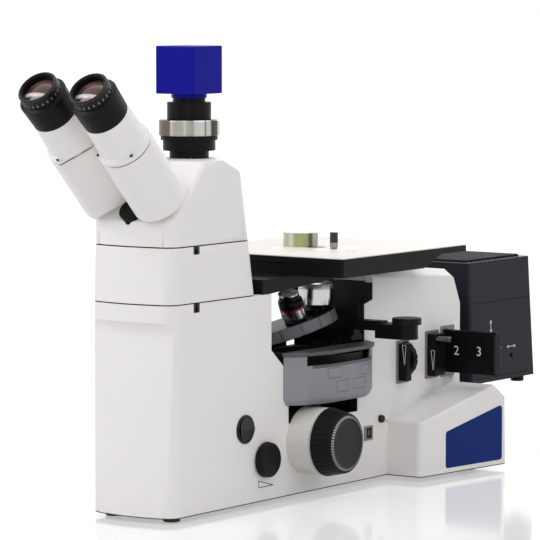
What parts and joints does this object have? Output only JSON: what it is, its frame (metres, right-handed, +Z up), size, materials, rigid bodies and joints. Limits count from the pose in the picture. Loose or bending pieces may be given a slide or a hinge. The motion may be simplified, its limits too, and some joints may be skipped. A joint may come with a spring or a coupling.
{
  "type": "inverted microscope",
  "caption": "Inverted microscope with folding binocular tube, camera port, focusing nosepiece, reflector wheel, fixed stage and rear lamp.",
  "frame": {"origin": "centre of the outer box on the table, under the feet", "axes": "+Z up, -Y towards the user at the eyepieces, +Y towards the lamp, +X the user's right"},
  "size_m": [0.2548, 0.8588, 0.4953],
  "materials": {
    "white_paint": "warm white textured paint",
    "black_metal": "black anodised",
    "rubber": "soft rubber",
    "blue_plastic": "blue moulded plastic",
    "glass": "clear optical glass",
    "board": "circuit board",
    "steel": "machined steel",
    "black_plastic": "moulded black plastic",
    "coated_glass": "coated eye lens",
    "bright_steel": "turned bright steel",
    "blue_paint": "blue lacquer",
    "cream_coat": "cream stage coating",
    "brown_plastic": "brownish yellow dish",
    "chrome": "satin chrome",
    "grey_plastic": "grey moulded plastic",
    "charcoal_paint": "charcoal paint"
  },
  "bodies": {
    "root": {"stand_housing": "white_paint", "base_plate": "black_metal", "rubber_feet": "rubber", "side_panels": "blue_plastic", "fold_prisms": "glass", "light_path_lenses": "glass", "power_board": "board", "cap_screws": "steel", "mains_inlet": "black_plastic", "tube_riser": "white_paint", "head_housing": "white_paint", "binocular_hub": "black_metal", "camera_port": "black_metal", "stage_plate": "black_metal", "stage_top": "cream_coat", "stage_frame": "black_metal", "stage_insert": "bright_steel", "specimen": "brown_plastic", "focus_collars": "grey_plastic", "reflector_cover": "grey_plastic", "switch_bezels": "black_plastic", "module_frames": "grey_plastic", "diaphragm_modules": "black_metal", "lamp_housing": "charcoal_paint", "lamp_door": "charcoal_paint", "lamp_bulb": "glass"},
    "arm_right": {"prism_arm_right": "white_paint", "tube_sleeve_right": "white_paint", "eyepiece_right": "black_metal", "eye_lens_right": "coated_glass"},
    "arm_left": {"prism_arm_left": "white_paint", "tube_sleeve_left": "white_paint", "eyepiece_left": "black_metal", "eye_lens_left": "coated_glass"},
    "diopter_right": {"diopter_ring_right": "black_plastic"},
    "diopter_left": {"diopter_ring_left": "black_plastic"},
    "camera_lock": {"camera_clamp_ring": "bright_steel"},
    "camera": {"camera_adapter": "black_metal", "camera_body": "blue_paint"},
    "coarse_drive": {"coarse_shaft": "steel", "coarse_knobs": "black_plastic"},
    "fine_drive": {"fine_drive": "black_metal"},
    "nosepiece_slide": {"nosepiece_carrier": "black_metal", "focus_rack": "steel"},
    "nosepiece": {"nosepiece_turret": "black_metal", "objective_active": "chrome", "objective_red_ring": "chrome", "objectives_slender": "chrome"},
    "analyser": {"analyser_slider": "black_plastic"},
    "analyser_dial": {"analyser_knob": "black_plastic"},
    "reflector_wheel": {"reflector_turret": "black_metal"},
    "intensity_dial": {"intensity_knob": "black_plastic"},
    "rocker_key": {"two_position_rocker": "black_plastic"},
    "button": {"push_button": "black_plastic"},
    "mains_switch": {"power_switch": "black_plastic"},
    "aperture_dial": {"aperture_wheel": "black_plastic"},
    "field_stop": {"field_stop_screw": "bright_steel"},
    "filter_tray": {"filter_slider": "black_plastic"},
    "lamp_clamp": {"lamp_clamp_knob": "black_plastic"},
    "stage_post": {"clamp_post": "steel"}
  },
  "joints": [
    {"name": "arm_right_fold", "type": "hinge", "parent": "root", "child": "arm_right", "pos_m": [-0.01088, -0.30684, 0.32361], "axis": [0, -0.7071, 0.7071], "range_deg": [-28.4, 14.4]},
    {"name": "arm_left_fold", "type": "hinge", "parent": "root", "child": "arm_left", "pos_m": [-0.01088, -0.30684, 0.32361], "axis": [0, -0.7071, 0.7071], "range_deg": [-14.4, 28.4]},
    {"name": "diopter_right_turn", "type": "hinge", "parent": "arm_right", "child": "diopter_right", "pos_m": [0.02212, -0.29425, 0.3362], "axis": [0, -0.7071, 0.7071], "range_deg": [-120, 120]},
    {"name": "diopter_left_turn", "type": "hinge", "parent": "arm_left", "child": "diopter_left", "pos_m": [-0.04388, -0.29425, 0.3362], "axis": [0, -0.7071, 0.7071], "range_deg": [-120, 120]},
    {"name": "camera_lock_turn", "type": "hinge", "parent": "root", "child": "camera_lock", "pos_m": [-0.01088, -0.20005, 0.408], "axis": [0, 0, 1], "range_deg": [0, 45]},
    {"name": "camera_turn", "type": "hinge", "parent": "root", "child": "camera", "pos_m": [-0.01088, -0.20005, 0.425], "axis": [0, 0, 1], "range_deg": [-180, 180]},
    {"name": "coarse_turn", "type": "hinge", "parent": "root", "child": "coarse_drive", "pos_m": [-0.01088, -0.06005, 0.063], "axis": [1, 0, 0], "range_deg": [-9.6, 114.7]},
    {"name": "nosepiece_lift", "type": "slide", "parent": "root", "child": "nosepiece_slide", "axis": [0, 0, 1], "range_m": [-0.001, 0.012]},
    {"name": "fine_turn", "type": "hinge", "parent": "root", "child": "fine_drive", "pos_m": [-0.01088, -0.06005, 0.063], "axis": [1, 0, 0], "range_deg": [-180, 180]},
    {"name": "nosepiece_turn", "type": "hinge", "parent": "nosepiece_slide", "child": "nosepiece", "pos_m": [-0.03786, 0.01587, 0.18038], "axis": [-0.2435, -0.1902, 0.9511], "continuous": true},
    {"name": "analyser_pull", "type": "slide", "parent": "nosepiece_slide", "child": "analyser", "axis": [1, 0, 0], "range_m": [0, 0.03]},
    {"name": "analyser_turn", "type": "hinge", "parent": "analyser", "child": "analyser_dial", "pos_m": [0.11112, 0.03695, 0.189], "axis": [0, 0, 1], "range_deg": [-180, 180]},
    {"name": "reflector_turn", "type": "hinge", "parent": "root", "child": "reflector_wheel", "pos_m": [0.01112, 0.00495, 0.149], "axis": [0, 0, 1], "continuous": true},
    {"name": "intensity_turn", "type": "hinge", "parent": "root", "child": "intensity_dial", "pos_m": [0.04912, -0.13805, 0.05], "axis": [1, 0, 0], "range_deg": [-150, 150]},
    {"name": "rocker_tip", "type": "hinge", "parent": "root", "child": "rocker_key", "pos_m": [0.04212, -0.17405, 0.0865], "axis": [0, 1, 0], "range_deg": [-6, 6], "stiffness_Nm_per_rad": 0.4},
    {"name": "button_press", "type": "slide", "parent": "root", "child": "button", "axis": [-1, 0, 0], "range_m": [0, 0.002], "stiffness_N_per_m": 400},
    {"name": "mains_switch_tip", "type": "hinge", "parent": "root", "child": "mains_switch", "pos_m": [0.00612, 0.25155, 0.035], "axis": [-1, 0, 0], "range_deg": [0, 9]},
    {"name": "aperture_turn", "type": "hinge", "parent": "root", "child": "aperture_dial", "pos_m": [0.03712, 0.13595, 0.134], "axis": [0, 1, 0], "range_deg": [-40, 40]},
    {"name": "field_stop_turn", "type": "hinge", "parent": "root", "child": "field_stop", "pos_m": [0.04912, 0.18595, 0.1535], "axis": [1, 0, 0], "range_deg": [-180, 180]},
    {"name": "filter_pull", "type": "slide", "parent": "root", "child": "filter_tray", "axis": [1, 0, 0], "range_m": [-0.03, 0.031]},
    {"name": "lamp_clamp_turn", "type": "hinge", "parent": "root", "child": "lamp_clamp", "pos_m": [0.02712, 0.40895, 0.086], "axis": [0, 0, 1], "range_deg": [-180, 180]},
    {"name": "stage_post_turn", "type": "hinge", "parent": "root", "child": "stage_post", "pos_m": [0.01912, 0.02895, 0.27], "axis": [0, 0, 1], "range_deg": [-180, 180]}
  ],
  "couplings": [
    {"joint": "arm_left_fold", "follows": "arm_right_fold", "ratio": -1},
    {"joint": "coarse_turn", "follows": "nosepiece_lift", "rad_per_m": 166.67}
  ]
}
